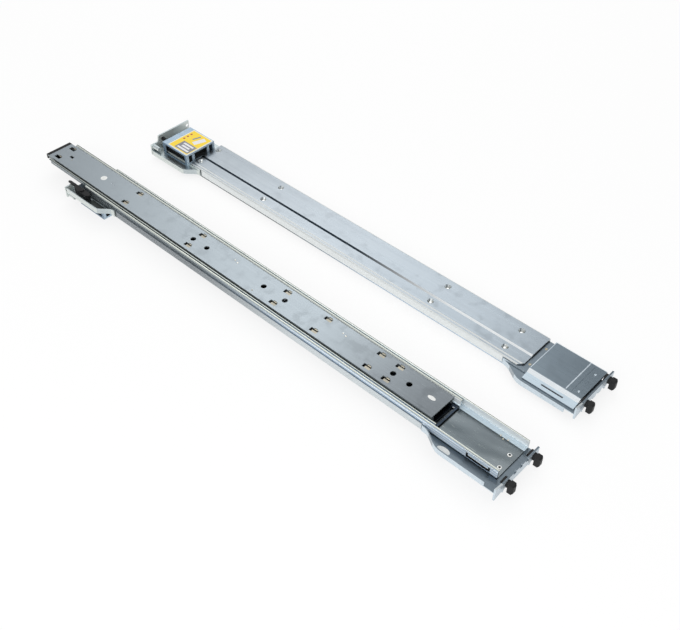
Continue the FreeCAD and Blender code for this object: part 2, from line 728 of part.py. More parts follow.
def build():
    parts = {}
    left = rail_parts(1, left_middle_out, left_inner_out)
    right = rail_parts(-1, 0, 0)
    for side, pieces, place in (("left", left, place_left), ("right", right, place_right)):
        for name, (shape, drawn_out) in pieces.items():
            placed = place(shape)
            placed.translate(V(-drawn_out, 0, 0))
            parts[side + "_" + name] = placed
    whole = FreeCAD.BoundBox()
    for shape in parts.values():
        whole.add(shape.BoundBox)
    shift = V(-whole.Center.x, -whole.Center.y, -whole.ZMin)
    for shape in parts.values():
        shape.translate(shift)
    return parts, shift


def main():
    os.makedirs("parts", exist_ok=True)
    parts, shift = build()
    for name, shape in parts.items():
        shape.exportStep("parts/" + name + ".step")
    print("front post face of the left rail at", [round(c, 4) for c in shift])


main()
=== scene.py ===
import math
import bmesh
import bpy
from mathutils import Matrix, Vector


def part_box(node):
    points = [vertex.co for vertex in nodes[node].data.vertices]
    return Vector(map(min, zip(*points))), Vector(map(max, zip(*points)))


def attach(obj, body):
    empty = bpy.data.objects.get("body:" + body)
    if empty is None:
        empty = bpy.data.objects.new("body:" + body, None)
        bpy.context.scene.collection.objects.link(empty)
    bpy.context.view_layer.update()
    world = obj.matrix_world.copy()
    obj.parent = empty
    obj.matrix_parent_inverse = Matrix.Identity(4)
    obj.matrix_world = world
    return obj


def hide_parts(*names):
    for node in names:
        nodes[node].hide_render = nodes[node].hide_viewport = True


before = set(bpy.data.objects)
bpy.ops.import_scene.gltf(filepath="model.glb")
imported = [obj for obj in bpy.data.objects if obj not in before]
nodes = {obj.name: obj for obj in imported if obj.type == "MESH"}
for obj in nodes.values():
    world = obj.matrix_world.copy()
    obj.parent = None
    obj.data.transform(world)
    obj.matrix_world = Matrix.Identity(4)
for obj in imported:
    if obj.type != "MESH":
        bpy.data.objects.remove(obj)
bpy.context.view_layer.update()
mm = 0.001
metre = 1000        # in millimetres
sides = ("left", "right")
print("frame loaded:", len(nodes), "nodes")


class Sock:
    # one socket of a node tree; operators on it add Math nodes

    def __init__(self, tree, socket=None):
        self.tree = tree
        self.socket = socket

    def node(self, kind, settings={}, inputs={}, out=0):
        # a new node: its settings first, then the values or links of its sockets
        made = self.tree.nodes.new(kind)
        for name, value in settings.items():
            if name == "stops":
                elements = made.color_ramp.elements
                for i, (place, colour) in enumerate(value):
                    stop = elements[i] if i < len(elements) else elements.new(place)
                    stop.position = place
                    stop.color = colour
            else:
                setattr(made, name, value)
        for name, value in inputs.items():
            if isinstance(value, Sock):
                self.tree.links.new(value.socket, made.inputs[name])
            else:
                made.inputs[name].default_value = value
        return Sock(self.tree, made.outputs[out] if made.outputs else None)

    def output(self, out):
        # another output of the same node
        return Sock(self.tree, self.socket.node.outputs[out])

    def calc(self, operation, first, second=0.0):
        return self.node("ShaderNodeMath", {"operation": operation}, {0: first, 1: second})

    def __add__(self, other):
        return self.calc("ADD", self, other)

    def __radd__(self, other):
        return self.calc("ADD", other, self)

    def __sub__(self, other):
        return self.calc("SUBTRACT", self, other)

    def __rsub__(self, other):
        return self.calc("SUBTRACT", other, self)

    def __mul__(self, other):
        return self.calc("MULTIPLY", self, other)

    def __rmul__(self, other):
        return self.calc("MULTIPLY", other, self)

    def above(self, edge, soft=0.0):
        # 0 below the edge and 1 above it, with a soft step if wanted
        if soft == 0.0:
            return self.calc("GREATER_THAN", self, edge)
        values = {"Value": self, "From Min": edge - soft, "From Max": edge + soft}
        return self.node("ShaderNodeMapRange", {"interpolation_type": "SMOOTHSTEP"}, values)

    def absolute(self):
        return self.calc("ABSOLUTE", self)

    def root(self):
        return self.calc("POWER", self, 0.5)

    def sine(self):
        return self.calc("SINE", self)

    def least(self, other):
        return self.calc("MINIMUM", self, other)

    def most(self, other):
        return self.calc("MAXIMUM", self, other)

    def swing(self):
        # a noise of 0 to 1 as a swing around 0
        return self - 0.5


def rgb(r, g, b):
    # a colour as seen on screen, 0 to 255, turned into the renderer's own values
    def linear(c):
        c = c / 255
        return c / 12.92 if c <= 0.04045 else ((c + 0.055) / 1.055) ** 2.4
    return (linear(r), linear(g), linear(b), 1.0)


def grey(value):
    return (value, value, value, 1.0)


def emptyGraph(owner):
    # the bare node tree of a material or the world
    owner.use_nodes = True
    owner.node_tree.nodes.clear()
    return Sock(owner.node_tree)


def newMaterial(name):
    material = bpy.data.materials.new(name)
    return material, emptyGraph(material)


def surface(graph, values):
    # numbers stand on the shader's own sockets, varying values are linked
    shader = graph.node("ShaderNodeBsdfPrincipled", {}, values)
    graph.node("ShaderNodeOutputMaterial", {}, {"Surface": shader})


def splitAxes(graph, vector):
    split = graph.node("ShaderNodeSeparateXYZ", {}, {0: vector})
    return [split.output(axis) for axis in range(3)]


def objectPlace(graph):
    return graph.node("ShaderNodeTexCoord", out="Object")


def millimetres(graph, coordinates):
    # x, y and z on the piece, in millimetres
    return [axis * metre for axis in splitAxes(graph, coordinates)]


def facing(graph):
    # how far the surface faces along x, y and z, either way
    normal = graph.node("ShaderNodeTexCoord", out="Normal")
    return [axis.absolute() for axis in splitAxes(graph, normal)]


def stretched(graph, coordinates, scale, shift=(0, 0, 0)):
    values = {"Vector": coordinates, "Scale": scale, "Location": shift}
    return graph.node("ShaderNodeMapping", {}, values)


def noise(graph, vector, scale=1.0, detail=2.0, roughness=0.5):
    values = {"Vector": vector, "Scale": scale, "Detail": detail, "Roughness": roughness}
    return graph.node("ShaderNodeTexNoise", {}, values)


def blendColour(graph, factor, first, second):
    return graph.node("ShaderNodeMix", {"data_type": "RGBA"}, {0: factor, 6: first, 7: second}, out=2)


def bump(graph, height, strength, depth):
    values = {"Height": height, "Strength": strength, "Distance": depth * mm}
    return graph.node("ShaderNodeBump", {}, values)


def boxGap(x, y, centre, half):
    # distance outside a rectangle, below 0 inside it
    return ((x - centre[0]).absolute() - half[0]).most((y - centre[1]).absolute() - half[1])


def discGap(x, y, centre, radius):
    across = x - centre[0]
    along = y - centre[1]
    return (across * across + along * along).root() - radius


def within(gap, soft=0.06):
    return 1 - gap.above(0.0, soft)


slideBoxes = {side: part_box(side + "_outer_slide") for side in sides}
railMiddles = {side: (low[1] + high[1]) / 2 for side, (low, high) in slideBoxes.items()}


def railAcross(y):
    # distance from the rail's own middle line, in millimetres
    near = metre * railMiddles["left"]
    far = metre * railMiddles["right"]
    farRail = y.above((near + far) / 2)
    return y - near - farRail * (far - near)


grain = {
    # a low first number draws the noise out along the rail
    "lineStretch": 6,
    "lineScale": 1200,
    "bands": (4, 160, 160),
    "bandShift": (0.3, 0.1, 0),
    "cloudScale": 28.0,
    "scratches": (90, 700, 300),
    "scratchEdge": (0.66, 0.03),
}


def steelGrain(graph, coordinates, lineScale=grain["lineScale"]):
    # lines drawn along the rail, broad bands, cloudy zinc and a few scratches
    lineSpace = stretched(graph, coordinates, (grain["lineStretch"], lineScale, lineScale))
    bandSpace = stretched(graph, coordinates, grain["bands"], grain["bandShift"])
    scratchSpace = stretched(graph, coordinates, grain["scratches"])
    lines = noise(graph, lineSpace, detail=3.0, roughness=0.65)
    bands = noise(graph, bandSpace)
    cloud = noise(graph, coordinates, scale=grain["cloudScale"], detail=4.0, roughness=0.6)
    scratches = noise(graph, scratchSpace, detail=4.0, roughness=0.7).above(*grain["scratchEdge"])
    return lines, bands, cloud, scratches


ridges = {"pitch": 1.7, "paleEdge": (0.35, 0.3)}


def fineRidges(graph, height, dark, pale, pitch=ridges["pitch"]):
    # dark wall with fine pale ridges along it
    wave = (height * (2 * math.pi / pitch)).sine()
    return blendColour(graph, wave.above(*ridges["paleEdge"]), dark, pale)


rearFade = (20.0, 110.0)        # where the walls change tone towards the rear, and how softly
sheetRelief = {"strength": 0.35, "depth": 0.06}

zincLooks = {
    # flat faces run from dark to light, side faces look across the rail, slopes lie between; the side,
    # end, slope and shelf tones are painted light and shade for the way each face turns;
    # rearFlat is a tone, where it comes in, how softly and how much; step is a place and a half width
    "backSteel": {"light": rgb(172, 179, 185), "dark": rgb(134, 143, 150), "side": rgb(228, 232, 232),
                  "slope": rgb(44, 54, 62), "rough": 0.30, "lines": 0.45, "cloud": 0.3,
                  "rearSlopeReflection": rgb(240, 244, 246), "slopeFade": (120.0, 90.0), "step": (7.8, 3.0),
                  "rearFlat": (rgb(124, 134, 142), 150.0, 260.0, 0.75)},
    "coverSteel": {"light": rgb(118, 129, 137), "dark": rgb(88, 100, 109), "side": rgb(210, 222, 232),
                   "slope": rgb(240, 246, 250), "shelf": rgb(204, 220, 231), "rough": 0.30, "lines": 0.45,
                   "cloud": 0.3},
    "frontSteel": {"light": rgb(206, 214, 214), "dark": rgb(164, 176, 182), "side": rgb(216, 222, 218),
                   "slope": rgb(205, 214, 218), "rough": 0.34, "lines": 0.25, "cloud": 0.4},
    "rearSteel": {"light": rgb(118, 128, 136), "dark": rgb(84, 95, 103), "side": rgb(204, 217, 226),
                  "slope": rgb(214, 221, 224), "rough": 0.32, "lines": 0.25, "cloud": 0.5},
    "plateSteel": {"light": rgb(163, 172, 178), "dark": rgb(143, 152, 158), "side": rgb(120, 128, 130),
                   "slope": rgb(200, 208, 208), "rough": 0.38, "lines": 0.25, "cloud": 0.25,
                   "rearFlat": (rgb(98, 103, 107), 180.0, 100.0, 0.85)},
    "cageSteel": {"light": rgb(140, 144, 148), "dark": rgb(98, 104, 108), "side": rgb(100, 106, 110),
                  "slope": rgb(120, 126, 130), "rough": 0.36, "lines": 0.4, "cloud": 0.3},
    "boxSteel": {"light": rgb(178, 196, 212), "dark": rgb(132, 152, 168), "side": rgb(104, 126, 146),
                 "slope": rgb(150, 170, 188), "end": rgb(190, 208, 222), "rough": 0.28, "lines": 0.4,
                 "cloud": 0.4},
    "tanSteel": {"light": rgb(180, 176, 162), "dark": rgb(148, 144, 132), "side": rgb(150, 142, 122),
                 "slope": rgb(190, 182, 160), "rough": 0.42, "lines": 0.2, "cloud": 0.4},
}
# a paler copy of coverSteel, used as painted highlight
zincLooks["paleHighlightSteel"] = dict(zincLooks["coverSteel"], side=rgb(214, 230, 242),
                              light=rgb(220, 230, 238))
zincLooks["ridgedBack"] = dict(zincLooks["backSteel"], ridged=rgb(52, 60, 64),
                               side=rgb(204, 211, 214))

zincFaces = {
    # how squarely a face looks along an axis where one tone gives way to another, and how softly
    "flat": (0.985, 0.01),
    "square": (0.88, 0.08),
    "endward": (0.5, 0.1),
    "gentle": (0.4, 0.1),
}
# grain, smudges and scratches, and in sideShare and endShare how far side and end faces take their
# painted light and shade
zincWearAndFaceShading = {
    "tone": 0.55,
    "sideShare": 0.9,
    "endShare": 0.8,
    "scratchShare": 0.3,
    "roughLines": 0.18,
    "roughSmudges": 0.06,
    "smudgeEdge": (0.6, 0.08),
    "lineHeight": 0.6,
    "bandHeight": 0.3,
    "scratchHeight": 0.4,
    "uprightMatt": 0.5,         # upright faces are half as metallic, so they stay pale
}


def zincSheet(name, look):
    material, graph = newMaterial(name)
    coordinates = objectPlace(graph)
    x, y, z = millimetres(graph, coordinates)
    faceX, faceY, faceZ = facing(graph)
    lines, bands, cloud, scratches = steelGrain(graph, coordinates)
    wear = zincWearAndFaceShading
    streak = lines.swing() * look["lines"] + bands.swing() * look["lines"]
    tone = (streak + cloud.swing() * look["cloud"] + wear["tone"]).most(0.0).least(1.0)
    flat = blendColour(graph, tone, look["dark"], look["light"])
    slope = look["slope"]
    side = look["side"]
    if "rearFlat" in look:                  # the long sheets change tone towards their rear end
        rearTone, edge, soft, share = look["rearFlat"]
        flat = blendColour(graph, x.above(edge, soft) * share, flat, rearTone)
    if "rearSlopeReflection" in look:                 # painted reflection: only the middle step is dark, and it turns pale rearwards
        slope = blendColour(graph, x.above(*look["slopeFade"]), look["slope"], look["rearSlopeReflection"])
        stepPlace, stepHalf = look["step"]
        step = within((railAcross(y) + stepPlace).absolute() - stepHalf)
        slope = blendColour(graph, step, look["side"], slope)
    if "shelf" in look:                     # painted light for the way a face turns: its gentle slope is bluer than the steep one
        slope = blendColour(graph, faceY.above(*zincFaces["gentle"]), look["shelf"], slope)
    if "ridged" in look:
        ridged = fineRidges(graph, z, look["ridged"], look["light"])
        side = blendColour(graph, x.above(*rearFade), ridged, look["side"])
    # painted light and shade: sloping, sideward and endward faces each take their own tone for the way
    # they turn
    slanting = (1 - faceZ.above(*zincFaces["flat"])) * (1 - faceX.above(*zincFaces["endward"]))
    sideward = faceY.above(*zincFaces["square"]) * wear["sideShare"]
    endward = faceX.above(*zincFaces["square"]) * wear["endShare"]
    body = blendColour(graph, slanting, flat, slope)
    body = blendColour(graph, sideward, body, side)
    body = blendColour(graph, endward, body, look.get("end", look["side"]))
    worn = blendColour(graph, scratches * wear["scratchShare"], body, look["light"])
    smudges = noise(graph, coordinates, scale=60.0, detail=3.0).above(*wear["smudgeEdge"])
    rough = look["rough"] + lines.swing() * wear["roughLines"] + smudges * wear["roughSmudges"]
    height = lines * wear["lineHeight"] + bands * wear["bandHeight"] + scratches * wear["scratchHeight"]
    metal = 1 - (1 - faceZ.above(*zincFaces["gentle"])) * wear["uprightMatt"]
    surface(graph, {"Base Color": worn, "Metallic": metal, "Roughness": rough,
                    "Normal": bump(graph, height, **sheetRelief)})
    return material


slideLook = {
    "rim": rgb(214, 219, 212),
    "rimGapShade": rgb(70, 78, 80),
    "rimLines": ((21.2, 0.75), (24.9, 0.85)),    # bright ridge of each rim, place and half width; beside it the rim is painted shade of the gaps
    "groove": rgb(58, 66, 72),
    "ridge": rgb(176, 186, 190),
    "farWallReflection": rgb(236, 246, 251),
    "rearWall": rgb(228, 234, 236),
    "rearGroove": rgb(176, 198, 220),
    "rearPitch": 3.2,
    "foot": (22.0, 3.6, rgb(206, 222, 232)),     # painted reflection of the far wall's curved foot: place, half width, colour
    "webDark": rgb(80, 88, 92),
    "webLight": rgb(142, 150, 154),
    "webLow": 3.0,                               # the web lies between these heights, a rim beyond
    "webHigh": 26.0,
    "rayLong": (0.004, 0.02),                    # how fast the web's painted cloud reflections change along and across
    "raySlant": (0.012, 0.03),
    "rayDepth": 0.4,
    "rayTone": (1.7, 0.06, 0.35),                # share of the painted reflections, share of the lines, middle tone
    "upright": (0.6, 0.1),
    "lineScale": 900,
    "rough": 0.28,
    "smoothShare": 0.8,
    "roughLines": 0.1,
    "roughCloud": 0.08,
    "scratchShare": 0.3,
    "bandHeight": 0.3,
    "lineHeight": 0.4,
    "scratchHeight": 0.3,
    "bandEdge": (0.5, 0.1),
    "lineSoft": 0.25,
    "footSoft": 0.3,
    "footMatt": 0.9,
    "wallMatt": 0.5,                             # twice this at the rear and on the far wall
}


def drawnSlide(name, look):
    # pale rims, walls with fine drawn lines, a far wall painted bright as a reflection and a dark web
    # with painted cloud reflections
    material, graph = newMaterial(name)
    coordinates = objectPlace(graph)
    x, y, z = millimetres(graph, coordinates)
    upright = facing(graph)[1].above(*look["upright"])
    lines, bands, cloud, scratches = steelGrain(graph, coordinates, look["lineScale"])
    across = railAcross(y)
    rear = x.above(*rearFade)
    nearFront = fineRidges(graph, z, look["groove"], look["ridge"])
    nearRear = fineRidges(graph, z, look["rearGroove"], look["rearWall"], look["rearPitch"])
    nearWall = blendColour(graph, rear, nearFront, nearRear)
    # painted reflection: the far wall takes a near-white tone, broken by bands
    farWallReflection = blendColour(graph, bands.above(*look["bandEdge"]), look["farWallReflection"], look["rearWall"])
    wall = blendColour(graph, across.above(0.0), nearWall, farWallReflection)
    longX, longY = look["rayLong"]
    slantX, slantY = look["raySlant"]
    raySpace = {0: x * longX + y * longY, 1: y * slantY - x * slantX, 2: look["rayDepth"]}
    rayReflections = noise(graph, graph.node("ShaderNodeCombineXYZ", {}, raySpace))
    rayShare, lineShare, middleTone = look["rayTone"]
    tone = (rayReflections.swing() * rayShare + lines.swing() * lineShare + middleTone).most(0.0).least(1.0)
    web = blendColour(graph, tone, look["webDark"], look["webLight"])
    aboveWeb = z.above(look["webHigh"])
    belowWeb = 1 - z.above(look["webLow"])
    # painted reflection: a pale strip of web along the far wall stands for its curved foot catching the
    # sky
    footPlace, footHalf, footReflectionColour = look["foot"]
    footReflectionStrip = within((across - footPlace).absolute() - footHalf, look["footSoft"])
    foot = footReflectionStrip * (1 - aboveWeb) * z.above(look["webLow"])
    web = blendColour(graph, foot, web, footReflectionColour)
    rim = (aboveWeb + belowWeb).least(1.0)
    ridge = 0.0
    for place, half in look["rimLines"]:
        ridge = within((across.absolute() - place).absolute() - half, look["lineSoft"]) + ridge
    rimColour = blendColour(graph, ridge.least(1.0), look["rimGapShade"], look["rim"])
    flat = blendColour(graph, rim, web, rimColour)
    body = blendColour(graph, upright, flat, wall)
    worn = blendColour(graph, scratches * look["scratchShare"], body, look["rim"])
    smooth = (1 - rim) * (1 - upright)      # the web is rolled smoother than walls and rims
    rough = look["rough"] + lines.swing() * look["roughLines"] + cloud.swing() * look["roughCloud"]
    grooves = bands * look["bandHeight"] + lines * look["lineHeight"] + scratches * look["scratchHeight"]
    height = grooves * (1 - smooth * look["smoothShare"])
    mattWall = upright * (look["wallMatt"] + rear.most(across.above(0.0)) * look["wallMatt"])
    metal = 1 - mattWall.most(foot * look["footMatt"])
    surface(graph, {"Base Color": worn, "Metallic": metal, "Roughness": rough,
                    "Normal": bump(graph, height, **sheetRelief)})
    return material


ballLook = {
    "dark": rgb(190, 194, 198),
    "light": rgb(226, 228, 230),
    "rough": 0.08,
    "roughNoise": 0.1,
}


def ballSteel():
    material, graph = newMaterial("ballSteel")
    fine = noise(graph, objectPlace(graph), scale=900.0)
    colour = blendColour(graph, fine, ballLook["dark"], ballLook["light"])
    rough = ballLook["rough"] + fine * ballLook["roughNoise"]
    surface(graph, {"Base Color": colour, "Metallic": 1.0, "Roughness": rough})
    return material


rivetLook = {
    "rimDark": rgb(176, 158, 118),
    "rimLight": rgb(214, 200, 164),
    "crownDark": rgb(232, 236, 236),
    "crownLight": rgb(250, 250, 248),
    "crownEdge": (0.82, 0.1),
    "rough": 0.24,
    "roughTint": 0.16,
}


def rivetSteel():
    # bright heads with a yellow passivated rim and a little dirt
    look = rivetLook
    material, graph = newMaterial("rivetSteel")
    tint = noise(graph, objectPlace(graph), scale=420.0, detail=3.0)
    rim = blendColour(graph, tint, look["rimDark"], look["rimLight"])
    crown = blendColour(graph, tint, look["crownDark"], look["crownLight"])
    colour = blendColour(graph, facing(graph)[2].above(*look["crownEdge"]), rim, crown)
    rough = look["rough"] + tint * look["roughTint"]
    surface(graph, {"Base Color": colour, "Metallic": 1.0, "Roughness": rough,
                    "Normal": bump(graph, tint, strength=0.2, depth=0.05)})
    return material


plasticLook = {
    "dark": rgb(10, 11, 12),
    "light": rgb(24, 26, 28),
    "rough": 0.42,
    "roughPores": 0.2,
    "specular": 0.3,
}


def blackPlastic():
    look = plasticLook
    material, graph = newMaterial("blackPlastic")
    coordinates = objectPlace(graph)
    pores = noise(graph, coordinates, scale=2600.0, detail=3.0, roughness=0.6)
    patches = noise(graph, coordinates, scale=160.0)
    colour = blendColour(graph, patches, look["dark"], look["light"])
    surface(graph, {"Base Color": colour, "Roughness": look["rough"] + pores * look["roughPores"],
                    "Specular IOR Level": look["specular"],
                    "Normal": bump(graph, pores, strength=0.25, depth=0.08)})
    return material


springLook = {
    "dark": rgb(18, 26, 25),
    "light": rgb(46, 58, 56),
    "scratch": rgb(110, 120, 116),
    "metallic": 0.4,
    "rough": 0.34,
    "roughLines": 0.2,
    "scratchShare": 0.4,
    "lineScale": 700,
}


def darkSpring():
    # blackened spring steel with a green cast
    look = springLook
    material, graph = newMaterial("darkSpring")
    lines, _, cloud, scratches = steelGrain(graph, objectPlace(graph), look["lineScale"])
    colour = blendColour(graph, cloud.above(0.5, soft=0.2), look["dark"], look["light"])
    colour = blendColour(graph, scratches * look["scratchShare"], colour, look["scratch"])
    surface(graph, {"Base Color": colour, "Metallic": look["metallic"],
                    "Roughness": look["rough"] + lines.swing() * look["roughLines"],
                    "Normal": bump(graph, lines, strength=0.25, depth=0.05)})
    return material


paperLook = {
    "dark": rgb(226, 228, 226),
    "light": rgb(242, 243, 240),
    "stain": rgb(196, 198, 198),
    "rough": 0.5,
    "roughFibre": 0.15,
    "stainShare": 0.25,
}


def paperFilm():
    look = paperLook
    material, graph = newMaterial("paperFilm")
    coordinates = objectPlace(graph)
    fibre = noise(graph, coordinates, scale=1800.0, detail=3.0)
    stain = noise(graph, coordinates, scale=220.0, detail=3.0).above(0.6, soft=0.12)
    colour = blendColour(graph, fibre, look["dark"], look["light"])
    colour = blendColour(graph, stain * look["stainShare"], colour, look["stain"])
    surface(graph, {"Base Color": colour, "Roughness": look["rough"] + fibre * look["roughFibre"],
                    "Normal": bump(graph, fibre, strength=0.2, depth=0.03)})
    return material


finishes = {name: zincSheet(name, look) for name, look in zincLooks.items()}
finishes["slideSteel"] = drawnSlide("slideSteel", slideLook)
# painted shade: the middle slide's web, lying under the server plate, is darkened to a deep blue
finishes["middleSteelShaded"] = drawnSlide("middleSteelShaded", dict(slideLook, webDark=rgb(40, 48, 58),
                                                         webLight=rgb(72, 82, 94)))
finishes["ballSteel"] = ballSteel()
finishes["rivetSteel"] = rivetSteel()
finishes["blackPlastic"] = blackPlastic()
finishes["darkSpring"] = darkSpring()
finishes["paperFilm"] = paperFilm()

nodeFinishes = {
    "back_channel": "backSteel",
    "outer_slide": "slideSteel",
    "intermediate_slide": "middleSteelShaded",
    "inner_slide": "plateSteel",
    "inner_bumper": "blackPlastic",
    "outer_ball_cage": "cageSteel",
    "inner_ball_cage": "cageSteel",
    "outer_balls": "ballSteel",
    "inner_balls": "ballSteel",
    "front_bracket": "frontSteel",
    "latch_box": "boxSteel",
    "latch_slider": "blackPlastic",
    "catch_lever": "blackPlastic",
    "catch_leaf": "darkSpring",
    "rear_bracket": "rearSteel",
    "rear_cover": "coverSteel",
    "rear_hook_near": "blackPlastic",
    "rear_hook_far": "blackPlastic",
}


def dress(piece, finish):
    piece.data.materials.clear()
    piece.data.materials.append(finishes[finish])


for name, piece in nodes.items():
    dress(piece, nodeFinishes[name.split("_", 1)[1]])
dress(nodes["left_back_channel"], "ridgedBack")
print("finishes on", len(nodes), "nodes")


def railFrame(side):
    # front post face, middle line, server's face, and which way the rail's depth runs
    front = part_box(side + "_front_bracket")[0][0]
    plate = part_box(side + "_inner_slide")
    face = plate[1][2] if side == "left" else plate[0][2]
    return front, railMiddles[side], face, (-1 if side == "left" else 1)


railFrames = {side: railFrame(side) for side in sides}
downs = {side: railFrames[side][3] for side in sides}
drawnOut = {
    # how far each server plate and its balls stand out at rest
    "left": {"plate": 85.0, "outer_balls": 41.0, "inner_balls": 83.5},
    "right": {"plate": 0.0, "outer_balls": 0.0, "inner_balls": 0.0},
}


def spot(side, x, y, depth):
    # a place on one rail, in millimetres along, across and deep, as a place in the room
    front, middle, face, down = railFrames[side]
    return Vector((front + x * mm, middle + y * mm, face + down * depth * mm))


weldDistance = 0.000005
bevelShare = 0.3        # of a pad's thickness


def addPiece(name, form, finish, body, place=(0, 0, 0), smooth=35):
    mesh = bpy.data.meshes.new(name)
    bmesh.ops.remove_doubles(form, verts=form.verts, dist=weldDistance)
    bmesh.ops.recalc_face_normals(form, faces=form.faces)
    form.to_mesh(mesh)
    form.free()
    for face in mesh.polygons:
        face.use_smooth = True
    mesh.set_sharp_from_angle(angle=math.radians(smooth))
    piece = bpy.data.objects.new(name, mesh)
    bpy.context.scene.collection.objects.link(piece)
    piece.location = place
    mesh.materials.append(finishes[finish])
    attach(piece, body)
    return piece


def joinRings(form, rings):
    # walls from ring to ring, closed at both ends
    count = len(rings[0])
    for lower, upper in zip(rings, rings[1:]):
        for i in range(count):
            j = (i + 1) % count
            form.faces.new((lower[i], lower[j], upper[j], upper[i]))
    form.faces.new(rings[0])
    form.faces.new(rings[-1])


def turnedRing(form, place, profile, up, steps, stretch=1.0):
    # a turned shape on a vertical axis, from radius and height pairs in millimetres
    rings = []
    for radius, height in profile:
        ring = []
        for i in range(steps):
            angle = 2 * math.pi * i / steps
            along = radius * mm * math.cos(angle) * stretch
            aside = radius * mm * math.sin(angle)
            ring.append(form.verts.new(Vector(place) + Vector((along, aside, up * height * mm))))
        rings.append(ring)
    joinRings(form, rings)


def roundedPad(form, low, high, z0, z1, corner, steps=6):
    # a flat pad with rounded corners, its top edge slightly bevelled
    edge = (z1 - z0) * bevelShare
    layers = ((z0, 0.0), (z1 - edge, 0.0), (z1, edge))
    centres = ((high[0] - corner, high[1] - corner, 0), (low[0] + corner, high[1] - corner, 90),
               (low[0] + corner, low[1] + corner, 180), (high[0] - corner, low[1] + corner, 270))
    rings = []
    for z, inset in layers:
        reach = corner - inset
        ring = []
        for cx, cy, turn in centres:
            for i in range(steps + 1):
                angle = math.radians(turn + 90 * i / steps)
                point = (cx + reach * math.cos(angle), cy + reach * math.sin(angle), z)
                ring.append(form.verts.new(point))
        rings.append(ring)
    joinRings(form, rings)


def railPad(form, side, near, far, corner, steps=6):
    # a rounded pad between two places on a rail, each along, across and deep
    a = spot(side, *near)
    b = spot(side, *far)
    low, high = sorted((a[2], b[2]))
    roundedPad(form, (a[0], a[1]), (b[0], b[1]), low, high, corner * mm, steps)


labelLook = {
    "side": "right",
    "low": (25.5, -31.6),       # corners on the box's top, in millimetres along and across
    "high": (64.2, 15.2),
    "sheet": 0.14,
    "corner": 0.8,
    "border": 1.3,
    "field": rgb(250, 216, 38),
    "frame": rgb(236, 234, 222),
    "panel": rgb(128, 130, 140),
    "pale": rgb(232, 232, 234),
    "red": rgb(176, 66, 44),
    "blue": rgb(118, 134, 156),
    # from here on places and half sizes are shares of the label's length and width
    "panelPlace": (0.1, -0.25),
    "panelHalf": (0.34, 0.19),
    "barLengths": (0.28, 0.19, 0.24),
    "barPitch": 0.11,
    "barHalf": 0.034,
    "capsuleTurn": (0.35, 0.944),
    "capsules": (("pale", 0.1, 0.24, (0.1, 0.19)), ("blue", -0.14, 0.24, (0.035, 0.13))),
    "dotPlace": (-0.36, 0.02),
    "dotPitch": 0.14,
    "dotCount": 3,
    "dotRadius": 1.7,           # in millimetres
    "rough": 0.3,
    "roughFibre": 0.16,
    "roughWear": 0.1,
    "wearShare": 0.12,
}


def labelFilm(width, depth):
    # yellow film with a pale border, a grey panel of bars, a pale and a blue capsule, and red dots
    look = labelLook
    material, graph = newMaterial("labelFilm")
    coordinates = objectPlace(graph)
    x, y, _ = millimetres(graph, coordinates)
    field = within(boxGap(x, y, (0, 0), (width / 2 - look["border"], depth / 2 - look["border"])))
    colour = blendColour(graph, field, look["frame"], look["field"])
    panelX, panelY = width * look["panelPlace"][0], depth * look["panelPlace"][1]
    panelHalf = (width * look["panelHalf"][0], depth * look["panelHalf"][1])
    panel = within(boxGap(x, y, (panelX, panelY), panelHalf))
    colour = blendColour(graph, panel, colour, look["panel"])
    for i, length in enumerate(look["barLengths"]):
        barY = panelY + (i - 1) * depth * look["barPitch"]
        bar = within(boxGap(x, y, (panelX, barY), (width * length, depth * look["barHalf"])))
        colour = blendColour(graph, bar, colour, look["pale"])
    skew, shrink = look["capsuleTurn"]
    slant = (x - y * skew) * shrink
    across = (y + x * skew) * shrink
    for tint, along, aside, half in look["capsules"]:
        capsuleHalf = (width * half[0], depth * half[1])
        capsule = within(boxGap(slant, across, (width * along, depth * aside), capsuleHalf))
        colour = blendColour(graph, capsule, colour, look[tint])
    dotX, dotY = look["dotPlace"]
    for i in range(look["dotCount"]):
        dotCentre = (width * dotX, depth * (dotY + i * look["dotPitch"]))
        dot = within(discGap(x, y, dotCentre, look["dotRadius"]))
        colour = blendColour(graph, dot, colour, look["red"])
    fibre = noise(graph, coordinates, scale=1400.0)
    wear = noise(graph, coordinates, scale=90.0, detail=3.0).above(0.62, soft=0.1)
    colour = blendColour(graph, wear * look["wearShare"], colour, look["frame"])
    rough = look["rough"] + fibre * look["roughFibre"] + wear * look["roughWear"]
    surface(graph, {"Base Color": colour, "Roughness": rough,
                    "Normal": bump(graph, fibre, strength=0.15, depth=0.03)})
    return material


def makeLabel():
    look = labelLook
    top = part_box(look["side"] + "_latch_box")[1][2]
    low = spot(look["side"], *look["low"], 0)
    high = spot(look["side"], *look["high"], 0)
    centre = (low + high) / 2
    half = (high - low) / 2
    finishes["labelFilm"] = labelFilm(2 * metre * half[0], 2 * metre * half[1])
    form = bmesh.new()
    roundedPad(form, (-half[0], -half[1]), (half[0], half[1]), 0, look["sheet"] * mm, look["corner"] * mm)
    addPiece("box_label", form, "labelFilm", "frame", (centre[0], centre[1], top))


stickers = {
    # side, along, across, depth, radius across, stretch along, body
    "plate_dot": ("left", 26.9, 1.0, 0.0, 4.4, 1.0, "left_inner"),
    "plate_oval": ("left", 570.5, 1.6, 0.0, 2.5, 2.0, "left_inner"),
    "wing_oval": ("left", 616.4, -35.6, 10.8, 4.0, 1.9, "left_rear"),
}
stickerForm = {"sunk": 0.04, "half": 0.02, "top": 0.05, "edge": 0.1, "steps": 40}


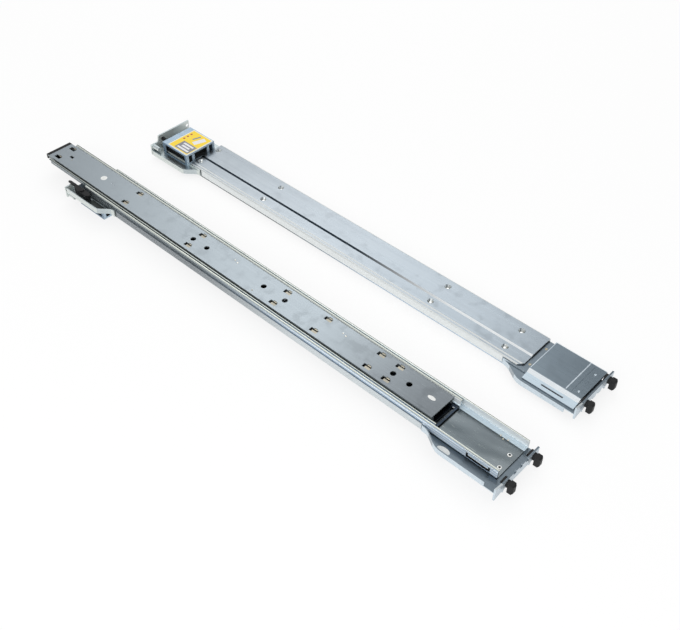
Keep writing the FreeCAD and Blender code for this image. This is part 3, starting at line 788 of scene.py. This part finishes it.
def makeStickers():
    low, high, top = -stickerForm["half"], stickerForm["half"], stickerForm["top"]
    for name, (side, x, y, depth, radius, stretch, body) in stickers.items():
        form = bmesh.new()
        profile = ((radius, low), (radius, high), (radius - stickerForm["edge"], top))
        turnedRing(form, (0, 0, 0), profile, 1, stickerForm["steps"], stretch)
        place = spot(side, x, y, depth) - Vector((0, 0, stickerForm["sunk"] * mm))
        addPiece(name, form, "paperFilm", body, place)


frontCap = {
    # section along and deep, from the front wall over the plate's edge
    "section": ((12.3, 0.9), (12.55, 0.2), (13.2, -0.14), (17.6, -0.18), (18.0, -0.05), (14.5, 0.02),
                (14.5, 6.7), (12.9, 7.0), (12.3, 6.3)),
    "half": 18.4,
    "smooth": 50,
}
slideStop = {"start": 14.8, "end": 46.0, "half": 14.4, "top": 4.3, "foot": 6.9, "corner": 3}


def makeFrontCaps():
    # rubber caps over the plates' front ends, and the black stops under them
    for side in sides:
        out = drawnOut[side]["plate"]
        form = bmesh.new()
        ends = []
        for y in (-frontCap["half"], frontCap["half"]):
            outline = [spot(side, x - out, y, depth) for x, depth in frontCap["section"]]
            ends.append([form.verts.new(point) for point in outline])
        joinRings(form, ends)
        cap = addPiece(side + "_front_cap", form, "blackPlastic", side + "_inner",
                       smooth=frontCap["smooth"])
        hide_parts(side + "_inner_bumper")
        form = bmesh.new()
        railPad(form, side, (slideStop["start"] - out, -slideStop["half"], slideStop["top"]),
                (slideStop["end"] - out, slideStop["half"], slideStop["foot"]), slideStop["corner"])
        stop = addPiece(side + "_slide_stop", form, "blackPlastic", side + "_inner")


windows = {
    "first": 29.5,
    "steps": (0.0, 142.4, 262.7, 408.2, 471.7, 549.4, 575.4),
    "row": 11.8,
    "width": 5.2,
    # plates from and to, along, across from the window's far edge, and deep
    "tab": (-1.35, 3.35, -0.25, 1.25, 0.45, 0.85),
    # the floor plates' tan is painted reflection: the lit web seen through the window
    "floor": (-2.9, 6.2, -6.2, -1.1, 1.45, 1.75),
    "corner": 0.3,
    "cornerSteps": 2,
}


def makeWindowTabs():
    # a tab at each window's far edge, and under all but the first pair a tan plate that stands for the
    # lit web seen through the window, a painted reflection
    for side in sides:
        form = bmesh.new()
        for step in windows["steps"]:
            for row in (-windows["row"], windows["row"]):
                x = windows["first"] + step - drawnOut[side]["plate"]
                y = row + windows["width"] / 2
                plates = (windows["tab"], windows["floor"]) if step > 0 else (windows["tab"],)
                for x0, x1, y0, y1, top, foot in plates:
                    railPad(form, side, (x + x0, y + y0, top), (x + x1, y + y1, foot),
                            windows["corner"], windows["cornerSteps"])
        tabs = addPiece(side + "_window_tabs", form, "tanSteel", side + "_inner")


flatPads = {
    # from and to along, across and deep, then finish, slot and body
    "side_shade_pad": ((634.5, 667.5), (-25.12, -24.2), (2.6, 10.4), "blackPlastic", "black_plastic", "frame"),
    "side_lip_highlight": ((633.0, 669.0), (-26.72, -26.5), (1.0, 2.5), "paleHighlightSteel", "zinc_bright", "frame"),
    "cover_band_highlight": ((658.4, 659.8), (-24.0, 25.2), (18.4, 18.62), "paleHighlightSteel", "zinc_bright", "rear"),
    "cover_edge_highlight": ((614.7, 615.5), (-24.6, 25.2), (18.4, 18.58), "paleHighlightSteel", "zinc_bright", "rear"),
}
flatPadForm = {"corner": 0.1, "cornerSteps": 2}


def makeFlatPads():
    # dark pads behind the near walls' openings as painted shade, bright lips over them and two pale
    # ridges across each cover as painted highlights
    for side in sides:
        for kind, ((x0, x1), (y0, y1), (top, foot), finish, slot, body) in flatPads.items():
            form = bmesh.new()
            railPad(form, side, (x0, y0, top), (x1, y1, foot),
                    flatPadForm["corner"], flatPadForm["cornerSteps"])
            owner = body if body == "frame" else side + "_" + body
            addPiece(side + "_" + kind, form, finish, owner)


pinCap = {
    "x": 25.0,
    "y": -33.4,
    "depth": 1.15,
    "profile": ((3.2, -0.9), (3.3, 0.1), (3.1, 0.45), (2.5, 0.62), (1.0, 0.7)),
    "steps": 32,
}


def makePinCaps():
    # black heads over the catches' pivot pins
    for side in sides:
        form = bmesh.new()
        turnedRing(form, (0, 0, 0), pinCap["profile"], -downs[side], pinCap["steps"])
        cap = addPiece(side + "_pin_cap", form, "blackPlastic", "frame",
                       spot(side, pinCap["x"], pinCap["y"], pinCap["depth"]))


dimples = {
    "stations": (73.5, 195.0, 471.5, 576.0),
    "rows": (-16.0, 16.0),
    "floor": 13.5,             # depth of a dimple's floor
    "head": ((1.95, -0.2), (2.35, 0.0), (2.3, 0.35), (1.9, 0.72), (1.2, 0.95), (0.45, 1.02)),
    "steps": 24,
}


def makeRivets():
    for side in sides:
        form = bmesh.new()
        for x in dimples["stations"]:
            for y in dimples["rows"]:
                place = spot(side, x, y, dimples["floor"])
                turnedRing(form, place, dimples["head"], downs[side], dimples["steps"])
        addPiece(side + "_channel_rivets", form, "rivetSteel", "frame")


ballSets = {
    # ball's size, row's distance from the middle, body of the cage
    "outer_balls": (4.0, 23.1, "_outer_cage"),
    "inner_balls": (3.3, 17.95, "_inner_cage"),
}
ballPlaces = {"start": 195.0, "pitch": 62.5, "count": 4, "depth": 5.6, "around": 24, "rings": 14}


def makeBalls():
    # true spheres stand in for the bevelled blocks of both ball sets
    for side in sides:
        for kind, (size, row, cage) in ballSets.items():
            form = bmesh.new()
            for i in range(ballPlaces["count"]):
                x = ballPlaces["start"] + ballPlaces["pitch"] * (i + 0.5) - drawnOut[side][kind]
                for y in (-row, row):
                    place = Matrix.Translation(spot(side, x, y, ballPlaces["depth"]))
                    bmesh.ops.create_uvsphere(form, u_segments=ballPlaces["around"],
                                              v_segments=ballPlaces["rings"], radius=size / 2 * mm,
                                              matrix=place)
            balls = addPiece(side + "_smooth_" + kind, form, "ballSteel", side + cage, smooth=180)
            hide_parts(side + "_" + kind)


embosses = {
    # side, along, across, depth of the face, way out of it, radius, finish, body
    "web_boss_near": ("left", 668.5, -14.0, 11.1, -1, 2.5, "rivetSteel", "frame"),
    "web_boss_far": ("left", 667.0, 5.0, 11.1, -1, 2.5, "rivetSteel", "frame"),
    "web_core_near": ("left", 668.5, -14.0, 10.95, -1, 1.5, "darkSpring", "frame"),
    "web_core_far": ("left", 667.0, 5.0, 10.95, -1, 1.5, "darkSpring", "frame"),
    "web_mark_1": ("left", 646.0, 19.2, 11.1, -1, 1.2, "rivetSteel", "frame"),
    "web_mark_2": ("left", 650.5, 16.8, 11.1, -1, 1.0, "rivetSteel", "frame"),
    "web_mark_3": ("left", 655.0, 19.2, 11.1, -1, 1.2, "rivetSteel", "frame"),
    "cover_boss_near": ("right", 671.5, -18.0, 18.5, 1, 1.5, "coverSteel", "right_rear"),
    "cover_boss_far": ("right", 671.5, 14.0, 18.5, 1, 1.5, "coverSteel", "right_rear"),
    "left_cover_boss_near": ("left", 671.5, -18.0, 18.5, 1, 1.5, "coverSteel", "left_rear"),
    "left_cover_boss_far": ("left", 671.5, 14.0, 18.5, 1, 1.5, "coverSteel", "left_rear"),
    "plate_mark_1": ("left", 268.5, 8.6, 0.0, -1, 0.9, "rivetSteel", "left_inner"),
    "plate_mark_2": ("left", 274.0, 7.2, 0.0, -1, 1.1, "rivetSteel", "left_inner"),
    "plate_mark_3": ("left", 320.6, -13.5, 0.0, -1, 1.0, "tanSteel", "left_inner"),
    "plate_mark_4": ("left", 442.5, 7.4, 0.0, -1, 0.9, "rivetSteel", "left_inner"),
    "plate_mark_5": ("left", 447.5, 6.2, 0.0, -1, 1.2, "rivetSteel", "left_inner"),
    "plate_mark_6": ("left", -35.9, -3.8, 0.0, -1, 0.9, "tanSteel", "left_inner"),
    "plate_mark_7": ("left", 43.0, 1.5, 0.0, -1, 1.1, "coverSteel", "left_inner"),
    "plate_mark_8": ("left", 49.5, 0.5, 0.0, -1, 1.1, "coverSteel", "left_inner"),
    "tongue_mark_near": ("right", 610.3, -17.6, 13.9, 1, 1.8, "tanSteel", "right_rear"),
    "tongue_mark_far": ("right", 610.3, 13.8, 13.9, 1, 1.8, "tanSteel", "right_rear"),
}
embossForm = {
    # shares of the radius, and heights in millimetres
    "profile": ((1.0, -0.05), (0.95, 0.08), (0.72, 0.26), (0.6, 0.26), (0.45, 0.1), (0.2, 0.06)),
    "steps": 24,
}


def makeEmbosses():
    for name, (side, x, y, depth, way, radius, finish, body) in embosses.items():
        form = bmesh.new()
        profile = [(radius * share, height) for share, height in embossForm["profile"]]
        turnedRing(form, (0, 0, 0), profile, way * downs[side], embossForm["steps"])
        addPiece(name, form, finish, body, spot(side, x, y, depth))


makeLabel()
makeStickers()
print("label and stickers on")
makeFrontCaps()
makeWindowTabs()
makeFlatPads()
makePinCaps()
print("front caps, window tabs, pads and pin caps made")
makeRivets()
makeBalls()
makeEmbosses()
print("rivets, balls and embosses made")

floorLook = {"size": 8.0, "height": -0.0002, "colour": 0.98, "shadowShare": 0.2}


def makeFloor():
    # a pale floor that shows white to the camera and in gloss, and keeps the rails' shadow
    bpy.ops.mesh.primitive_plane_add(size=floorLook["size"], location=(0, 0, floorLook["height"]))
    floor = bpy.context.object
    floor.name = "floor"
    material, graph = newMaterial("paleFloor")
    path = graph.node("ShaderNodeLightPath")
    seen = path.output("Is Camera Ray") + path.output("Is Glossy Ray")
    seen = (seen + path.output("Is Transmission Ray")).least(1.0)
    plain = graph.node("ShaderNodeBsdfDiffuse", {}, {"Color": grey(floorLook["colour"])})
    glow = graph.node("ShaderNodeEmission", {}, {"Color": grey(1.0), "Strength": 1.0})
    share = seen * (1 - floorLook["shadowShare"])
    mixed = graph.node("ShaderNodeMixShader", {}, {0: share, 1: plain, 2: glow})
    graph.node("ShaderNodeOutputMaterial", {}, {"Surface": mixed})
    floor.data.materials.append(material)


roomLook = {
    "level": 0.85,
    "stops": [(0.0, grey(0.55)), (0.35, grey(0.72)), (0.75, grey(1.0))],     # from the horizon up
    "shadeSide": (0.0, 0.9),
    "shadeShare": 0.35,
    "shade": grey(0.5),
}


def makeWorld():
    # a soft room, darker to one side; the camera sees it white
    look = roomLook
    world = bpy.data.worlds.new("softRoom")
    bpy.context.scene.world = world
    graph = emptyGraph(world)
    camera = graph.node("ShaderNodeLightPath", out="Is Camera Ray")
    across, _, up = splitAxes(graph, graph.node("ShaderNodeTexCoord", out="Generated"))
    sky = graph.node("ShaderNodeValToRGB", {"stops": look["stops"]}, {"Fac": up})
    shaded = blendColour(graph, across.above(*look["shadeSide"]) * look["shadeShare"], sky, look["shade"])
    colour = blendColour(graph, camera, shaded, grey(1.0))
    strength = camera * (1 - look["level"]) + look["level"]
    background = graph.node("ShaderNodeBackground", {}, {"Color": colour, "Strength": strength})
    graph.node("ShaderNodeOutputWorld", {}, {"Surface": background})


lamps = {
    # place, size, power; each points at the rails
    "key": ((-0.9, 1.1, 1.5), (1.4, 1.0), 7.0),
    "front": ((0.5, -1.3, 0.8), (1.6, 0.6), 8.0),
    "fill": ((1.2, -0.4, 1.3), (1.2, 1.2), 2.0),
}


def makeLamps():
    for name, (place, size, power) in lamps.items():
        data = bpy.data.lights.new(name, "AREA")
        data.shape = "RECTANGLE"
        data.size = size[0]
        data.size_y = size[1]
        data.energy = power
        lamp = bpy.data.objects.new(name, data)
        bpy.context.scene.collection.objects.link(lamp)
        lamp.location = place
        lamp.rotation_euler = (-Vector(place)).to_track_quat("-Z", "Y").to_euler()


view = {
    "place": (0.6140, -0.5940, 0.7615),
    "turn": -42.193,
    "tilt": 44.339,
    "roll": 0.973,
    "lens": 50.08,
    "sensor": 36,
    "clipStart": 0.01,
}


def makeCamera():
    turn = math.radians(view["turn"])
    tilt = math.radians(view["tilt"])
    roll = math.radians(view["roll"])
    ahead = Vector((math.sin(turn) * math.cos(tilt), math.cos(turn) * math.cos(tilt), -math.sin(tilt)))
    level = Vector((math.cos(turn), -math.sin(turn), 0))
    upright = level.cross(ahead)
    across = level * math.cos(roll) + upright * math.sin(roll)
    over = upright * math.cos(roll) - level * math.sin(roll)
    data = bpy.data.cameras.new("camera")
    data.sensor_width = view["sensor"]
    data.lens = view["lens"]
    data.clip_start = view["clipStart"]
    camera = bpy.data.objects.new("camera", data)
    bpy.context.scene.collection.objects.link(camera)
    axes = Matrix((across, over, -ahead)).transposed().to_4x4()
    camera.matrix_world = Matrix.Translation(view["place"]) @ axes
    bpy.context.scene.camera = camera


makeFloor()
makeWorld()
makeLamps()
makeCamera()
bpy.context.scene.view_settings.view_transform = "Standard"
print("room ready")
